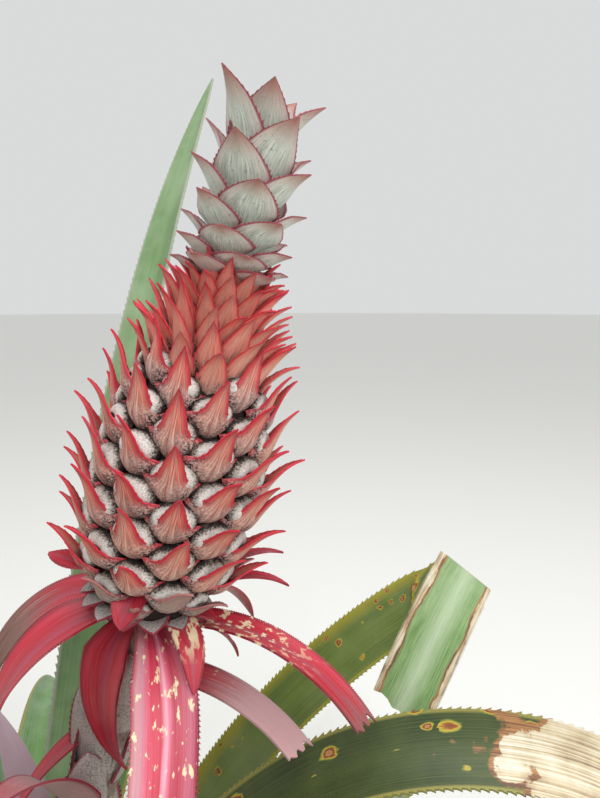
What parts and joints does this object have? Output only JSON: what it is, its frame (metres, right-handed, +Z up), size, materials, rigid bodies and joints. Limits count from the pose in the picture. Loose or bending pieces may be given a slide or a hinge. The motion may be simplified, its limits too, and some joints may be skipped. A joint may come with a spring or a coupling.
{
  "type": "pineapple plant",
  "caption": "Fruiting pineapple plant rooted in the ground: a rosette of strap leaves round a leaning stalk with red bracts, a scaly fruit and a leafy crown.",
  "frame": {"origin": "centre of the flat cut under the stem, at ground level", "axes": "+Z up, +X towards the side that the fruit leans to, -Y towards the front"},
  "size_m": [1.4908, 1.5362, 0.846],
  "materials": {
    "stem_bark": "brown stem with rings of leaf scars",
    "stalk_skin": "grey-green stalk with scurf",
    "fruit_skin": "grey scurfy fruitlets under red bracts",
    "crown_leaf": "silvery scurf with crimson margins",
    "red_bract": "waxy crimson with cream blotches",
    "grey_sheath": "grey stippled scurf over pink",
    "green_leaf": "waxy green with pale bloom and dry edges"
  },
  "bodies": {
    "root": {"stem": "stem_bark", "stalk": "stalk_skin", "leaf_01": "green_leaf", "leaf_02": "green_leaf", "leaf_03": "green_leaf", "leaf_04": "green_leaf", "leaf_05": "green_leaf", "leaf_06": "green_leaf", "leaf_07": "green_leaf", "leaf_08": "green_leaf", "leaf_09": "green_leaf", "leaf_10": "green_leaf", "leaf_11": "green_leaf", "leaf_12": "green_leaf", "leaf_13": "green_leaf", "leaf_14": "green_leaf", "leaf_15": "green_leaf", "leaf_16": "green_leaf", "leaf_17": "green_leaf", "leaf_18": "green_leaf", "leaf_19": "green_leaf", "leaf_20": "green_leaf", "leaf_21": "green_leaf", "leaf_22": "green_leaf", "leaf_23": "green_leaf", "leaf_24": "green_leaf", "leaf_24_flap": "green_leaf", "leaf_25": "green_leaf", "leaf_26": "green_leaf", "leaf_27": "green_leaf", "leaf_28": "green_leaf", "leaf_29": "green_leaf", "leaf_29_end": "green_leaf", "leaf_30": "green_leaf", "bract_front": "red_bract", "bract_right": "red_bract", "bract_right_back": "red_bract", "bract_back_right": "red_bract", "bract_back": "red_bract", "bract_back_left": "red_bract", "bract_left_back": "red_bract", "bract_left": "red_bract", "bract_front_left": "red_bract", "sheath_right": "grey_sheath", "sheath_left": "grey_sheath", "sheath_back": "grey_sheath", "sheath_front": "grey_sheath", "sheath_front_left": "grey_sheath", "sheath_front_right": "grey_sheath", "sheath_back_left": "grey_sheath", "fruit": "fruit_skin", "crown": "crown_leaf"}
  },
  "joints": []
}
